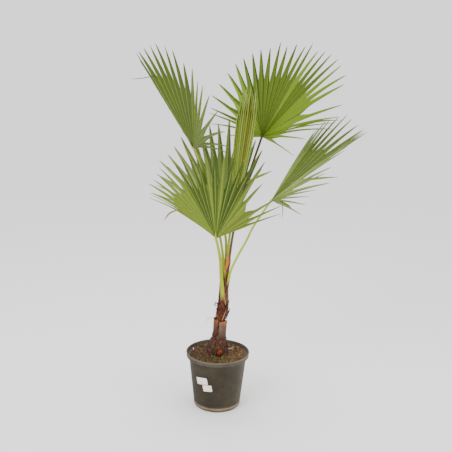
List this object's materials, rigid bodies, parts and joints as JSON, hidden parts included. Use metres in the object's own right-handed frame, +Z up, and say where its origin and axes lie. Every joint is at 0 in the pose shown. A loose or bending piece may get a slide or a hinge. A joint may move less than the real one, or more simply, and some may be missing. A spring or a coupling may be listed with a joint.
{
  "type": "potted fan palm",
  "caption": "Young Mexican fan palm in a plain nursery pot: short fibrous trunk, sheath of old leaf bases, long thorny stalks, open pleated fan leaves and a folded spear leaf.",
  "frame": {"origin": "centre of the flat underside of the pot, on the floor", "axes": "+Z up the plant, +X towards the frond that leans out to the right and -Y towards the side with the two labels and the lowest open fan, which is the side seen first"},
  "size_m": [1.0177, 1.0079, 1.6992],
  "materials": {
    "pot_plastic": "dull dark grey-brown moulded plastic, the rim worn lighter",
    "bark_soil": "rough brown bark bits and fibre with green moss in places",
    "trunk_bark": "rough fibrous red-brown bark",
    "old_leaf_base": "papery and fibrous orange-brown to dark brown",
    "cut_leaf_base": "smooth red-brown outside, cut face pale orange",
    "leaf_stalk": "smooth green, one of them brown, with small brown spines",
    "leaf_blade": "pleated satin green leaf",
    "label_paper": "blank white matt label"
  },
  "bodies": {
    "root": {"pot": "pot_plastic", "soil": "bark_soil", "trunk": "trunk_bark", "leaf_sheath": "old_leaf_base", "cut_base_left": "cut_leaf_base", "cut_base_right": "cut_leaf_base", "stalk_upper_left": "leaf_stalk", "blade_upper_left": "leaf_blade", "stalk_upper_right": "leaf_stalk", "blade_upper_right": "leaf_blade", "stalk_right": "leaf_stalk", "blade_right": "leaf_blade", "stalk_front": "leaf_stalk", "blade_front": "leaf_blade", "stalk_rear": "leaf_stalk", "blade_rear": "leaf_blade", "stalk_spear": "leaf_stalk", "blade_spear": "leaf_blade", "label_upper": "label_paper", "label_lower": "label_paper"}
  },
  "joints": []
}
